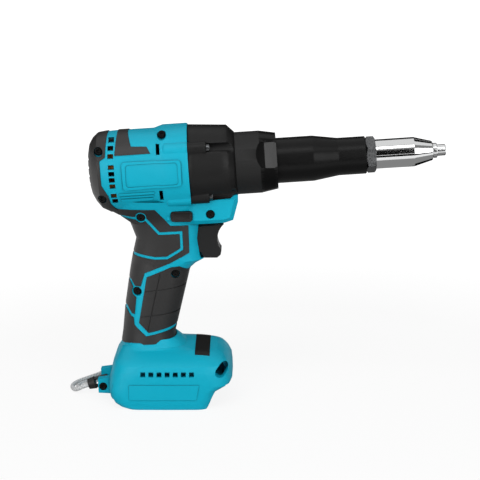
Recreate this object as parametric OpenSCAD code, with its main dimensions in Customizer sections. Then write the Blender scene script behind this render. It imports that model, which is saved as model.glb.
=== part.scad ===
// Battery rivet tool: pistol grip, motor and gear train on a tilted axis, pulling head in a long barrel.
// +X points to the nose, +Z up. The origin lies under the middle of the tool, on the surface it stands on.

/* [Tool axis] */
// Height of the tool axis at the middle of the tool's length
axis_height = 175.5; // [172:0.5:180]
// Upward tilt of the tool axis, in degrees
axis_tilt = 3.75; // [3:0.25:4.5]

/* [Motor body] */
// Radius of the motor body
body_r = 29.2; // [28.6:0.1:30.4]
// Radius of the flared front of the body
flare_r = 31.2; // [30.6:0.1:32.4]
// Distance back from the middle of the tool to the end of the bumper
body_rear = 127.7; // [126:0.1:130]
// Distance back from the middle of the tool to the front edge of the body
body_front = 56.3; // [55.5:0.1:57]
// Thickness of the moulded walls
wall = 2.6; // [2.2:0.1:3]
// Depth of the rubber below the housing surface
rubber_t = 1.6; // [1:0.1:1.8]
// Height of the rubber above the housing surface
rubber_proud = 0.5; // [0.2:0.1:0.8]
// Width of the fine lines of housing between the rubber panels
line_w = 2; // [0.8:0.1:2.4]
// Side of the square air vents
vent_w = 4.2; // [3:0.1:5]

/* [Gear housing] */
// Distance back from the middle of the tool to the front face of the gear housing
gear_front = 23.2; // [22:0.1:24]
// Radius of the gear housing where it leaves the body
gear_rear_r = 30.2; // [29.8:0.1:30.6]
// Radius of the gear housing before its front chamfer
gear_front_r = 28.2; // [27.5:0.1:29]
// Radius of the screw ribs on the gear housing and body
rib_r = 5; // [4.6:0.1:5.4]

/* [Barrel and nose] */
// Length of the front collar
collar_len = 29.5; // [28.5:0.1:31]
// Radius of the front collar
collar_r = 22.4; // [21.5:0.1:23]
// Length of the barrel in front of the collar
barrel_len = 64.1; // [62:0.1:66]
// Radius of the barrel behind its taper
barrel_r = 16.3; // [16:0.1:17]
// Radius of the barrel in front of its taper
barrel_front_r = 13.5; // [13:0.1:14]
// Length of the lock nut
lock_nut_len = 6.8; // [5:0.1:8]
// Width of the lock nut across its flats
lock_nut_af = 23; // [22.5:0.1:25]
// Length of the nose cap
nose_len = 41.1; // [40:0.1:43]
// Radius of the nose cap
nose_r = 10.6; // [10.5:0.1:11.2]
// Length of the nosepiece in front of the nose cap
nosepiece_len = 9.4; // [8:0.1:11]
// Radius of the nosepiece tip
tip_r = 4.1; // [3.6:0.1:4.4]
// Radius of the mandrel hole in the nosepiece
mandrel_r = 1.6; // [1.3:0.05:1.7]

/* [Handle] */
// Distance back from the middle of the tool to the middle of the grip
grip_x = 87; // [86:0.5:88]
// Depth of the grip from its back to its front
grip_depth = 40; // [38.5:0.5:41.5]
// Width of the grip
grip_w = 34; // [33:0.5:36]
// Width of the trigger guard above the trigger
guard_w = 37; // [36:0.5:39]

/* [Foot] */
// Distance back from the middle of the tool to the middle of the foot
foot_x = 70; // [69:0.5:71]
// Length of the foot
foot_len = 90; // [88:0.5:93]
// Width of the foot
foot_w = 78; // [76:0.5:82]
// Height of the foot
foot_h = 47; // [45:0.5:50]
// Thickness of the walls beside the battery slot
slot_wall = 4.5; // [4:0.1:6]
// Height of the battery slot
slot_h = 18; // [17:0.1:18.6]
// Outer width of the strap lug
lug_w = 32; // [28:0.5:36]
// Gap between the ears of the strap lug
lug_gap = 19; // [14:0.5:22]

/* [Trigger and selector] */
// Width of the trigger
trigger_w = 15.4; // [14:0.1:16]
// Travel of the trigger
trigger_travel = 5.5; // [4:0.1:6]
// Length of the direction selector
selector_len = 15.2; // [14:0.1:16]
// Height of the direction selector
selector_h = 7.4; // [6.6:0.1:7.8]
// Height of the selector above the side of the guard
selector_proud = 2.3; // [1.5:0.1:3]

/* [Drive] */
// Gear module
gear_module = 0.85; // [0.8:0.01:0.88]
// Width of the gear teeth along the axis
gear_face = 8; // [7:0.1:8.5]
// Radius of the lead screw
screw_r = 5; // [4.5:0.1:5.2]
// Radius of the motor shaft
shaft_r = 2.5; // [2.2:0.1:3]
// Stroke of the pulling head
stroke = 20; // [16:0.5:20]

/* [Wrist strap] */
// Radius of the strap cord
strap_r = 1.6; // [1.4:0.1:1.7]
// Radius of the loop cord
loop_r = 1.3; // [1:0.1:1.4]
// Downward slope of the loop, in degrees
strap_drop = 16; // [14:0.5:18]

/* [Hidden] */
// Right and left, as seen from behind the tool
right = -1;
left = 1;
// Points round each ring of a moulded form
ring_sides = 28;
// Running and seating clearances
fit = 0.1;
running = 0.05;
clear = 0.35;
overrun = 0.5;
$fn = 48;
small_fn = 12;

// Places along the axis, from the middle of the tool
body_len = body_rear - body_front;
reach = 2 * body_rear;
slot_w = foot_w - 2 * slot_wall;
mid_wall = (rubber_t + wall) / 2;
collar_rear_u = -gear_front;
collar_front_u = collar_rear_u + collar_len;
barrel_front_u = collar_front_u + barrel_len;
nut_front_u = barrel_front_u + lock_nut_len;
nose_front_u = nut_front_u + nose_len;
nosepiece_front_u = nose_front_u + nosepiece_len;

// Motor body: along, radius, rise, flare
body_ring_shares = [
    [0, 0.45, 0.10, 0], [0.015, 0.62, 0.10, 0], [0.05, 0.78, 0.08, 0], [0.10, 0.915, 0.05, 0],
    [0.18, 0.98, 0.01, 0], [0.29, 1, 0, 0], [0.66, 1, 0, 0], [0.75, 1, 0, 1],
    [0.985, 1, 0, 1], [1, 0.985, 0, 1]
];
body_square = 2.25;

// Handle: height above the foot, back, front, width, squareness
neck_share = 1.29406;
neck_h = neck_share * (axis_height - body_r - foot_h);
grip_ring_shares = [
    [0.80, -0.85, 1.18, 1.45, 2.4], [0.74, -0.75, 1.12, 1.24, 2.4], [0.70, -0.50, 1.05, 1.06, 2.6],
    [0.66, -0.31, 0.96, 0.99, 2.8], [0.57, -0.20, 0.925, 0.975, 2.8], [0.475, -0.27, 0.975, 0.975, 2.8],
    [0.45, -0.285, 1.02, 0.975, 2.6], [0.425, -0.30, 0.875, 0.975, 2.4], [0.39, -0.32, 0.75, 0.975, 2.4],
    [0.17, -0.425, 0.585, 1.01, 2.4], [0.025, -0.47, 0.475, 1.07, 2.4], [-0.055, -0.51, 0.50, 1.18, 2.4]
];
// Rings that shape the hollow of the handle
grip_hollow_rings = [1, 3, 4, 6, 8, 9, 11];

// Foot: height, back, front, width, squareness
foot_ring_shares = [
    [0, -0.372, 0.315, 0.965, 8], [0.035, -0.424, 0.322, 0.985, 8], [0.095, -0.468, 0.335, 0.995, 8],
    [0.18, -0.495, 0.353, 1, 8],
    [0.277, -0.503, 0.38, 1, 8], [0.37, -0.503, 0.476, 1, 7], [0.447, -0.502, 0.4955, 1, 6],
    [0.574, -0.4855, 0.488, 1, 5.5], [0.68, -0.466, 0.464, 0.955, 5], [0.765, -0.441, 0.428, 0.845, 4.5],
    [0.83, -0.418, 0.37, 0.63, 4], [0.852, -0.409, 0.21, 0.58, 3.4], [0.885, -0.395, 0.115, 0.54, 3],
    [1, -0.344, 0.045, 0.48, 2.6]
];
// Rings that shape the hollow of the foot
foot_hollow_rings = [6, 9, 12];

// Outlines on the side of the body: along, up
bumper_edge_shares = [
    [-0.5, 1.5], [0.234, 1.5], [0.203, 0.91], [0.186, 0.49], [0.129, 0.41], [0.13, -0.18],
    [0.188, -0.45], [0.205, -0.69], [0.262, -0.87], [0.262, -1.5], [-0.5, -1.5]
];
top_pad_shares = [
    [0.28, 0.52], [0.31, 1.08], [0.33, 1.5], [0.42, 1.5], [0.41, 1], [0.446, 0.70], [0.60, 0.68], [0.636, 0.52]
];
side_panel_shares = [[0.343, 0.36], [0.93, 0.345], [0.925, -0.29], [0.344, -0.335]];
panel_floor_shares = [[0.38, 0.295], [0.895, 0.295], [0.895, -0.25], [0.375, -0.26]];
low_groove_shares = [-0.49, -0.56];
low_panel_shares = [[0.297, -0.41], [0.65, -0.41], [0.62, -0.63], [0.315, -0.63]];
vent_shares = [
    [0.243, 0.687], [0.239, 0.51], [0.239, 0.255], [0.239, 0.095], [0.239, -0.055],
    [0.24, -0.21], [0.243, -0.45], [0.25, -0.59]
];
blind_vent_shares = [0.25, 0.86];
exhaust_shares = [[0.709, 0.606], [0.714, -0.507]];

// Outlines on the side of the grip: forward, up
band_shares = [
    [-0.95, 0.78], [-0.625, 0.753], [0.155, 0.755], [0.425, 0.657], [0.745, 0.657], [0.76, 0.50],
    [0.418, 0.443], [-0.05, 0.383], [-0.125, 0.305], [-0.235, 0.305], [-0.305, 0.338],
    [-0.5, 0.35], [-0.95, 0.5]
];
palm_shares = [
    [-0.5, 0.697], [-0.032, 0.687], [0.21, 0.605], [0.59, 0.61], [0.60, 0.528], [0.355, 0.481],
    [0.145, 0.478], [-0.2, 0.493], [-0.5, 0.498]
];
heel_shares = [
    [-0.6, 0.339], [-0.32, 0.324], [-0.255, 0.292], [-0.207, 0.241], [-0.24, 0.144], [-0.295, 0.148],
    [-0.382, 0.187], [-0.6, 0.191]
];
cuff_shares = [
    [-0.65, 0.179], [-0.39, 0.164], [-0.305, 0.13], [-0.26, 0.126], [-0.245, 0.082], [-0.032, 0.02],
    [0.487, 0.056], [0.7, 0.056], [0.7, -0.02], [0.235, -0.023], [-0.08, -0.027],
    [-0.138, -0.018], [-0.3, -0.02], [-0.65, -0.04]
];
finger_shares = [
    [0.58, 0.422], [0.738, 0.395], [0.9, 0.389], [0.9, 0.078], [0.487, 0.073], [0.013, 0.04],
    [-0.163, 0.097], [-0.013, 0.36], [0.432, 0.419]
];
long_groove_shares = [[0.23, 0.38], [0, 0.05]];
cross_groove_shares = [[[-0.11, 0.274], [0.81, 0.311]], [[-0.21, 0.128], [0.81, 0.165]]];
guard_shares = [
    [0.30, 0.83], [0.30, 0.669], [0.95, 0.665], [1.40, 0.673], [1.55, 0.689],
    [1.637, 0.794], [1.637, 0.83]
];
trigger_shares = [
    [0.60, 0.62], [0.98, 0.638], [1.40, 0.651], [1.36, 0.56], [1.335, 0.50], [1.32, 0.475], [1.257, 0.458],
    [1.015, 0.458], [0.97, 0.49], [0.60, 0.51]
];
trigger_slot_shares = [[0.7, 0.458], [1.7, 0.651]];
finger_hollow_shares = [1.625, 0.568, 0.3625];
selector_shares = [0.629, 0.714];
selector_corner = 1.9;
selector_end = 5;
selector_waist = 1.5;
selector_travel = 3;

// Outlines on the side of the foot: forward, up
foot_panel_shares = [[-0.333, 0.404], [0.227, 0.404], [0.204, 0.168], [-0.333, 0.168]];
foot_vent_shares = [-0.221, 0.167, 0.57];
foot_vents = 7;
inlay_shares = [0.19, 0.31, 0.68];
inlay_proud = 0.15;
scoop_shares = [[0.395, 0.585], [0.418, 0.635]];
lug_shares = [[-0.604, 0.345], [-0.45, 0.385], [-0.45, 0.11], [-0.6, 0.125]];
lug_screw_shares = [-0.562, 0.229];

// Housing screws: place on the body or the grip, and depth of the head below the middle
screw_head_r = 2.9;
screw_head_t = 2.2;
screw_shank_r = 1.45;
screw_reach = 8;
screw_ring_r = 4.1;
boss_r = 3.6;
body_screw_shares = [[0.119, 0.62, 0.60], [0.12, -0.546, 0.63], [0.75, 0.911, 0.45]];
grip_screw_shares = [
    [-0.102, 0.706, 0.82], [-0.188, 0.275, 0.60], [0.507, 0.378, 0.66], [1.143, 0.725, 0.90]
];

// Raised and sunk details of the housing
panel_proud = 0.9;
panel_sunk = 0.45;
panel_corner = 2.2;
groove_w = 0.8;
groove_depth = 0.6;
cross_groove_depth = 0.5;
exhaust_size = [2.6, 7.2];
blind_vent_depth = 1.2;
foot_vent_w = 3.5;
vent_share = 0.76;
edge_r = 3;
scoop_r = 3.6;
scoop_depth = 7;
rail_w = 3.6;
rail_h = 4;
rail_lift = 2;
rail_shares = [-0.4, 0.26];

// Motor
bore_r = body_r - wall;
stator_r = bore_r - fit;
yoke_share = 0.1736;
pole_share = 0.2415;
rotor_share = 0.468;
coil_share = 0.098;
fan_share = 0.83;
stator_yoke = yoke_share * stator_r;
stator_len = 18;
stator_rear_u = -104;
pole_w = pole_share * stator_r;
poles = 6;
rotor_r = rotor_share * stator_r;
air_gap = 0.6;
coil_t = coil_share * stator_r;
coil_end = 9;
coil_front = 5;
fan_r = fan_share * stator_r;
fan_t = 6.5;
fan_rear_u = -79.5;
fan_disc_t = 1.4;
fan_blades = 11;
blade_t = 1.1;
hub_r = 6;
bearing_r = 9.5;
bearing_len = 6;
rear_bearing_u = -122.6;
bearing_wall = 2.1;
bracket_rear_u = -71.5;
bracket_len = 5.2;
front_bearing_r = 8;
shaft_rear_u = rear_bearing_u + fit;

// Gear train
sun_teeth = 15;
planet_teeth = 15;
planets = 3;
ring_teeth = sun_teeth + 2 * planet_teeth;
pressure = 20;
addendum_share = 0.9;
dedendum_share = 1.2;
backlash = 0.12;
ring_rim = 2.4;
gear_rear_u = bracket_rear_u + bracket_len;
sun_rear_u = gear_rear_u + 2 * overrun;
ring_r = gear_module * (ring_teeth / 2 + dedendum_share) + ring_rim;
orbit_r = gear_module * (sun_teeth + planet_teeth) / 2;
planet_pin_r = 2;
carrier_t = 4;
carrier_rear_u = sun_rear_u + gear_face + overrun;
carrier_front_u = carrier_rear_u + carrier_t;
carrier_hub_r = 9;
main_bearing_r = 16;
main_bearing_len = 8;
main_bearing_u = carrier_front_u + 2 * overrun;
flange_r = 11.4;
flange_t = 4;
flange_u = main_bearing_u + main_bearing_len + overrun;
thrust_len = 5;
thrust_u = flange_u + flange_t;
thrust_r = 11.4;

// Gear housing
spigot_r = 17;
spigot_len = 9.5;
gear_chamfer = 5.4;
gear_screw_r = 1.6;
gear_screw_head_r = 2.8;
gear_screw_head_t = 2.6;
gear_screw_len = 21.7;
rib_front = 43.3;
rib_len = 19;
rib_angles = [47, 125, 235, 313];
rib_c = flare_r - rib_r + 1.4;

// Pulling head
guide_r = 13.3;
nut_r = guide_r - clear;
drive_nut_len = 24;
drive_nut_u = 3;
barrel_tail = 12;
barrel_spigot_r = 15.3;
key_w = 4;
key_in = 2.2;
key_out = 0.9;
key_front = 28;
key_rear = -5;
taper_front = 20;
taper_rear = 38;
barrel_bore_r = nose_r - fit;
nose_tail = 14;
nose_bore_r = 9;
pull_r = nose_bore_r - clear;
pull_bore_r = screw_r + 1;
screw_front_u = 32;
pull_spare = 1.5;
pull_end_u = screw_front_u + stroke + pull_spare;
pull_front_u = 63;
case_front_u = 104;
case_lap = 5;
cone_front_r = 3.9;
cone_rear_r = 6.5;
cone_rear_u = 83;
cone_front_u = 101.5;
jaw_rear_u = 86.5;
jaw_front_u = 100.5;
jaw_gap = 0.5;
pusher_rear_u = 76;
pusher_r = 5.6;
nose_cone_len = 13;
nose_end_r = 6.8;
nose_lip = 5;
nosepiece_flange_r = 5.4;
nosepiece_flange_t = 3.2;
nosepiece_tail = 14;
nosepiece_tail_r = 4.6;
collar_step_r = 20.2;
collar_taper = 12;
flat_len = 8.5;
flat_slope = 7;
flat_turn = 157;
flat_h = 19;
flat_depth = 1.9;

// Springs: wire, turns, steps in a turn
wire_r = 0.4;
spring_steps = 8;
spring_sides = 6;
jaw_spring_r = 4.6;
jaw_spring_turns = 6;
trigger_spring_r = 3.4;
trigger_spring_turns = 4;

// Switch and board
plunger_r = 2.2;
plunger_hole_len = 13;
switch_shares = [[-0.06, 0.483], [0.38, 0.643]];
switch_w = 18;
shelf_t = 2;
board_t = 1.6;
post_h = 3;
post_r = 2.5;
board_shares = [-0.30, 0.27];
board_w = 50;
chip = [7, 6, 4];
block_shares = [-0.33, 0.08];
block_w = 22;
block_h = 9;
blade = [14, 0.8, 6];
blade_pitch = 7;

// Strap route behind the foot, in the frame of the tool
strap_points = [
    [-139.3, 4.2, 3.4], [-141.5, 9, 2.2], [-141.5, 14.5, 1.8], [-138.5, 19.5, 1.8], [-133, 24, 1.8],
    [-125, 30, 1.8], [-116, 38, 1.8], [-105, 46, 1.8], [-92, 51, 1.8], [-76, 53, 1.8], [-62, 57, 1.8],
    [-52, 66, 1.8], [-50, 79, 1.8], [-58, 89, 1.8], [-71, 92, 1.8], [-86, 88, 1.8], [-101, 78, 1.8],
    [-113, 65, 1.8], [-122, 52, 1.8], [-130, 40, 1.8], [-137, 31, 1.8], [-143, 23, 1.8], [-146, 15.5, 1.8],
    [-145.6, 8, 2], [-142.4, 1.6, 2.8]
];
strap_lead = 3;
strap_gap = 0.2;
loop_len = 7.5;
ferrule_len = 5.2;
ferrule_r = 4.6;
ferrule_end_r = 3.8;

// Points on the side of the body, the grip and the foot, from their shares
function body_pt(s) = [s[0] * body_len - body_rear, s[1] * body_r];
function grip_pt(s) = [s[0] * grip_depth - grip_x, s[1] * neck_h + foot_h];
function foot_pt(s) = [s[0] * foot_len - foot_x, s[1] * foot_h];
function signed_power(c, p) = sign(c) * pow(abs(c), p);
function unit(v) = v / norm(v);

// Superellipse of half sizes a and b
function oval(a, b, n) = [
    for (i = [0:ring_sides - 1])
        let (t = 360 * i / ring_sides)
        [a * signed_power(cos(t), 2 / n), b * signed_power(sin(t), 2 / n)]
];
function body_ring(s, off) = let (
    r = s[1] * body_r + s[3] * (flare_r - body_r) + off,
    u = s[0] * body_len - body_rear - off * (1 - s[1]),
    rise = s[2] * body_r
) [for (p = oval(r, r, body_square)) [u, p[0], p[1] + rise]];
function grip_ring(s, off) = let (
    back = s[1] * grip_depth - grip_x - off,
    front = s[2] * grip_depth - grip_x + off
) [
    for (p = oval((front - back) / 2, s[3] * grip_w / 2 + off, s[4]))
        [p[0] + (front + back) / 2, p[1], s[0] * neck_h + foot_h]
];
function foot_ring(s, off) = let (
    back = s[1] * foot_len - foot_x - off,
    front = s[2] * foot_len - foot_x + off
) [
    for (p = oval((front - back) / 2, s[3] * foot_w / 2 + off, s[4]))
        [p[0] + (front + back) / 2, p[1], s[0] * (foot_h + off)]
];

// Outline of a rectangle with rounded corners, about its middle
function rounded_points(w, h, r) = [
    for (c = [0:3], k = [0:4])
        let (x = c == 0 || c == 3 ? 1 : -1, y = c < 2 ? 1 : -1, a = 90 * c + 22.5 * k)
        [x * (w / 2 - r) + r * cos(a), y * (h / 2 - r) + r * sin(a)]
];

// Frame of the tool axis: X forward along the axis
module on_axis() translate([0, 0, axis_height]) rotate([0, -axis_tilt, 0]) children();
// The same frame with Z forward, for turned pieces and gears
module on_shaft() on_axis() rotate([0, 90, 0]) children();
module turned(points) on_shaft() rotate_extrude() polygon(points);
// Plain ring or disc from one place along the axis to another
module disc(rear, front, r, hole = 0)
    turned([[hole, rear], [r, rear], [r, front], [hole, front]]);

// Outline in the side view, made as thick as h across the tool
module across(h) rotate([90, 0, 0]) linear_extrude(h, center = true) children();
// Rod across the tool at a point of the side view, from one Y to another
module rod(p, from, to, r)
    translate([p[0], from, p[1]]) rotate([-90, 0, 0]) cylinder(h = to - from, r = r);
// Hole of that kind in a moulded piece, wide enough for a round rod of radius r
module hole(p, from, to, r) rod(p, from, to, r / cos(180 / small_fn), $fn = small_fn);
module half(side) translate([-reach, side == right ? -reach : 0, -reach])
    cube([2 * reach, reach, 2 * reach]);

// Smooth form through closed rings of points
module loft(rings)
    for (i = [0:len(rings) - 2])
        let (n = len(rings[i]))
        hull() polyhedron(
            concat(rings[i], rings[i + 1]),
            concat(
                [[for (k = [0:n - 1]) k]],
                [[for (k = [0:n - 1]) 2 * n - 1 - k]],
                [for (k = [0:n - 1]) [(k + 1) % n, k, n + k]],
                [for (k = [0:n - 1]) [(k + 1) % n, n + k, n + (k + 1) % n]]
            )
        );
module body_form(off) on_axis() loft([for (s = body_ring_shares) body_ring(s, off)]);
module grip_form(off) loft([for (s = grip_ring_shares) grip_ring(s, off)]);
module foot_form(off) loft([for (s = foot_ring_shares) foot_ring(s, off)]);
module skin_form(off) {
    body_form(off);
    grip_form(off);
}
module guard_form() hull() {
    across(guard_w - 2 * edge_r) polygon([for (s = guard_shares) grip_pt(s)]);
    across(guard_w) offset(delta = -edge_r) polygon([for (s = guard_shares) grip_pt(s)]);
}

// Outlines of the rubber in the side view, drawn in by inset
module bumper_outline(inset) offset(delta = -inset) polygon([for (s = bumper_edge_shares) body_pt(s)]);
module top_pad_outline(inset) offset(delta = -inset) polygon([for (s = top_pad_shares) body_pt(s)]);
module palm_outline(inset) offset(delta = -inset) difference() {
    polygon([for (s = palm_shares) grip_pt(s)]);
    translate(grip_pt(grip_screw_shares[0])) circle(screw_ring_r, $fn = small_fn);
}
module grip_rubber_outline(inset) offset(delta = -inset) difference() {
    union() {
        polygon([for (s = band_shares) grip_pt(s)]);
        polygon([for (s = heel_shares) grip_pt(s)]);
        polygon([for (s = cuff_shares) grip_pt(s)]);
    }
    offset(delta = line_w) polygon([for (s = palm_shares) grip_pt(s)]);
    for (i = [0, 1])
        translate(grip_pt(grip_screw_shares[i])) circle(screw_ring_r, $fn = small_fn);
}
module finger_outline(inset) offset(delta = -inset) difference() {
    polygon([for (s = finger_shares) grip_pt(s)]);
    translate(grip_pt(grip_screw_shares[2])) circle(screw_head_r + clear, $fn = small_fn);
}

// One rubber panel: the outline's share of a skin over the housing
module rubber(side, on_body) difference() {
    intersection() {
        skin_form(rubber_proud);
        half(side);
        if (on_body) on_axis() across(reach) children();
        else across(reach) children();
    }
    skin_form(running - rubber_t);
}
// Seats of all the rubber panels
module rubber_seats() difference() {
    intersection() {
        skin_form(rubber_proud + overrun);
        union() {
            on_axis() across(reach) {
                bumper_outline(0);
                top_pad_outline(0);
            }
            across(reach) {
                grip_rubber_outline(0);
                palm_outline(0);
                finger_outline(0);
            }
        }
    }
    skin_form(-rubber_t);
}
module rear_cap_area() translate([0, axis_height]) rotate(axis_tilt) bumper_outline(-fit);

// Places of the housing screws in the side view
function tilt_pt(p) = [
    p[0] * cos(axis_tilt) - p[1] * sin(axis_tilt),
    p[0] * sin(axis_tilt) + p[1] * cos(axis_tilt) + axis_height
];
body_screws = [for (s = body_screw_shares) concat(tilt_pt(body_pt(s)), s[2] * body_r)];
screw_places = concat(body_screws, [for (s = grip_screw_shares) concat(grip_pt(s), s[2] * grip_w / 2)]);
lug_screw_at = foot_pt(lug_screw_shares);

// Hollows of the housing
module hollows() {
    intersection() {
        body_form(-wall);
        on_axis() translate([-reach, -reach, -reach])
            cube([reach - body_front + overrun, 2 * reach, 2 * reach]);
    }
    loft([for (i = grip_hollow_rings) grip_ring(grip_ring_shares[i], -wall - overrun)]);
    intersection() {
        loft([for (i = foot_hollow_rings) foot_ring(foot_ring_shares[i], -wall)]);
        translate([-reach, -reach, slot_h + wall]) cube(2 * reach);
    }
    translate([-foot_x - foot_len / 2 + wall + fit, -slot_w / 2, -overrun])
        cube([foot_len, slot_w, slot_h + overrun]);
    gear_housing_envelope(fit);
}
// Screw bosses, bearing seat, shelf, posts and battery rails inside the housing
module inner_ribs() {
    difference() {
        intersection() {
            union() {
                skin_form(-mid_wall);
                guard_form();
            }
            for (s = screw_places) hole(s, -reach, reach, boss_r);
        }
        disc(stator_rear_u - coil_end - overrun, -body_front, fan_r + overrun);
        disc(-reach, -body_front, bearing_r + fit);
        disc(bracket_rear_u - clear, -body_front, flare_r);
    }
    intersection() {
        body_form(-mid_wall);
        union() {
            disc(-body_rear, rear_bearing_u, bearing_r + bearing_wall, 2 * shaft_r);
            disc(rear_bearing_u - fit, rear_bearing_u + bearing_len,
                bearing_r + bearing_wall, bearing_r + running);
        }
    }
    intersection() {
        grip_form(-fit);
        translate([grip_pt(switch_shares[0])[0], -grip_w / 2, grip_pt(switch_shares[0])[1] - shelf_t - fit])
            cube([grip_pt(switch_shares[1])[0] - grip_pt(switch_shares[0])[0], grip_w, shelf_t]);
    }
    intersection() {
        foot_form(-mid_wall);
        scoop_form(wall);
    }
    for (x = board_shares, y = [-1, 1])
        translate([foot_pt([x, 0])[0] - sign(x) * 2 * post_r, y * board_w / 4, slot_h + wall - overrun])
            cylinder(h = post_h + overrun, r = post_r, $fn = small_fn / 2);
    for (y = [-1, 1])
        translate([foot_pt(rail_shares)[0],
            y * (slot_w - rail_w + overrun) / 2 - (rail_w + overrun) / 2, rail_lift])
            cube([(rail_shares[1] - rail_shares[0]) * foot_len, rail_w + overrun, rail_h]);
}
module vents(side) {
    intersection() {
        half(side);
        union() {
            on_axis() difference() {
                across(reach) {
                    for (s = vent_shares) translate(body_pt(s))
                        square([vent_w, vent_w * vent_share], center = true);
                    for (s = exhaust_shares) translate(body_pt(s)) square(exhaust_size, center = true);
                }
                across(2 * rotor_r) square(reach, center = true);
            }
            difference() {
                on_axis() across(reach) translate(body_pt(blind_vent_shares))
                    square([vent_w, vent_w * vent_share], center = true);
                body_form(-blind_vent_depth);
            }
            difference() {
                across(reach)
                    for (i = [0:foot_vents - 1])
                        let (step = (foot_vent_shares[1] - foot_vent_shares[0]) / (foot_vents - 1))
                        translate(foot_pt([foot_vent_shares[0] + i * step, foot_vent_shares[2]]))
                            square(foot_vent_w, center = true);
                across(foot_w - 4 * wall) square(reach, center = true);
            }
        }
    }
}
module screw_holes() {
    for (s = screw_places) {
        hole(s, -reach, -s[2], screw_head_r + clear);
        hole(s, -s[2] - overrun, screw_reach + fit, screw_shank_r + running);
    }
    hole(lug_screw_at, -reach, -lug_w / 2 + screw_head_t, screw_head_r + fit);
    hole(lug_screw_at, -lug_w / 2, lug_w / 2 - overrun, screw_shank_r + running);
    on_shaft() for (a = rib_angles) rotate(a) translate([rib_c, 0, -rib_front - gear_screw_len - fit])
        cylinder(h = gear_screw_len, r = (gear_screw_r + running) / cos(180 / small_fn), $fn = small_fn);
}
// Outline with its corners rounded
module rounded_panel() offset(r = panel_corner, $fn = small_fn) offset(delta = -panel_corner) children();
module side_details() {
    difference() {
        intersection() {
            body_form(panel_proud);
            on_axis() across(reach) rounded_panel() polygon([for (s = side_panel_shares) body_pt(s)]);
        }
        difference() {
            on_axis() across(reach) rounded_panel() polygon([for (s = panel_floor_shares) body_pt(s)]);
            body_form(panel_sunk);
        }
    }
    intersection() {
        body_form(panel_sunk);
        on_axis() across(reach) difference() {
            polygon([for (s = low_panel_shares) body_pt(s)]);
            for (k = low_groove_shares) translate([-reach, k * body_r]) square([reach, groove_w]);
        }
    }
    intersection() {
        foot_form(panel_sunk);
        across(reach) polygon([for (s = foot_panel_shares) foot_pt(s)]);
    }
    difference() {
        on_shaft() for (a = rib_angles) rotate(a) translate([rib_c, 0, -body_front - rib_len])
            cylinder(h = rib_len, r1 = rib_r - overrun, r2 = rib_r, $fn = small_fn);
        body_form(-wall);
    }
}
module lug() difference() {
    across(lug_w) polygon([for (s = lug_shares) foot_pt(s)]);
    translate([-reach - foot_x - foot_len / 2, 0, 0])
        cube([2 * reach, lug_gap, 2 * reach], center = true);
}

// One half of the moulded housing
module housing_half(side) color("#22b4cd") difference() {
    intersection() {
        half(side);
        union() {
            difference() {
                union() {
                    skin_form(0);
                    guard_form();
                    foot_form(0);
                    side_details();
                    lug();
                }
                hollows();
            }
            inner_ribs();
        }
    }
    rubber_seats();
    inlay_seat();
    vents(side);
    screw_holes();
    trigger_slot();
    selector_slot();
    scoops();
}
module inlay_form(off) intersection() {
    foot_form(inlay_proud - off);
    translate([foot_pt(inlay_shares)[0] + off, -inlay_shares[2] * foot_w / 2 + off, foot_h / 2])
        cube([(inlay_shares[1] - inlay_shares[0]) * foot_len - 2 * off,
            inlay_shares[2] * foot_w - 2 * off, reach]);
}
module inlay_seat() difference() {
    inlay_form(0);
    foot_form(-rubber_t);
}
module trigger_slot() translate([
    grip_pt(trigger_slot_shares[0])[0], -trigger_w / 2 - clear, grip_pt(trigger_slot_shares[0])[1] - clear
]) cube([
    grip_depth, trigger_w + 2 * clear,
    grip_pt(trigger_slot_shares[1])[1] - grip_pt(trigger_slot_shares[0])[1] + 2 * clear
]);
module selector_outline(off) translate(grip_pt(selector_shares))
    polygon(rounded_points(selector_len + 2 * off, selector_h + 2 * off, selector_corner + off));
module selector_slot() across(reach) selector_outline(clear);
module scoop_form(off) for (turn = [0, 1]) mirror([0, turn, 0])
    hull() for (s = scoop_shares)
        hole(foot_pt(s), foot_w / 2 - scoop_depth - off, foot_w, scoop_r + off);
module scoops() scoop_form(0);
module housing_right() housing_half(right);
module housing_left() housing_half(left);

module bumper_half(side) color("#3a3939") difference() {
    rubber(side, true) bumper_outline(running);
    for (s = body_screws) hole(s, -reach, reach, screw_head_r + clear);
    on_axis() for (k = [-2:2]) translate([-body_rear - overrun, 0, k * body_r / 5])
        rotate([90, 0, 0])
            cylinder(h = 2 * body_r, r = groove_w + rubber_proud, center = true, $fn = small_fn / 2);
}
module rear_bumper_right() bumper_half(right);
module rear_bumper_left() bumper_half(left);
module top_pad_right() color("#3d3b3b") rubber(right, true) top_pad_outline(running);
module top_pad_left() color("#3d3b3b") rubber(left, true) top_pad_outline(running);
module grip_rubber_half(side) color("#3d3b3b") rubber(side, false) offset(delta = -running) difference() {
    grip_rubber_outline(0);
    rear_cap_area();
}
module grip_rubber_right() grip_rubber_half(right);
module grip_rubber_left() grip_rubber_half(left);
module palm_pad_right() color("#403e3e") rubber(right, false) palm_outline(running);
module palm_pad_left() color("#403e3e") rubber(left, false) palm_outline(running);
module finger_pad_half(side) color("#373636") difference() {
    rubber(side, false) finger_outline(running);
    difference() {
        across(reach) groove(long_groove_shares);
        grip_form(rubber_proud - groove_depth);
    }
    difference() {
        across(reach) for (g = cross_groove_shares) groove(g);
        grip_form(rubber_proud - cross_groove_depth);
    }
}
module groove(ends) hull() for (s = ends) translate(grip_pt(s)) circle(groove_w / 2, $fn = small_fn / 2);
module finger_pad_right() finger_pad_half(right);
module finger_pad_left() finger_pad_half(left);
module foot_inlay() color("#1d1d1d") difference() {
    inlay_form(running);
    foot_form(running - rubber_t);
}
module screw(p, head_y, tail_y) {
    rod(p, head_y - screw_head_t, head_y, screw_head_r);
    rod(p, head_y - running, tail_y, screw_shank_r);
}
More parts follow.
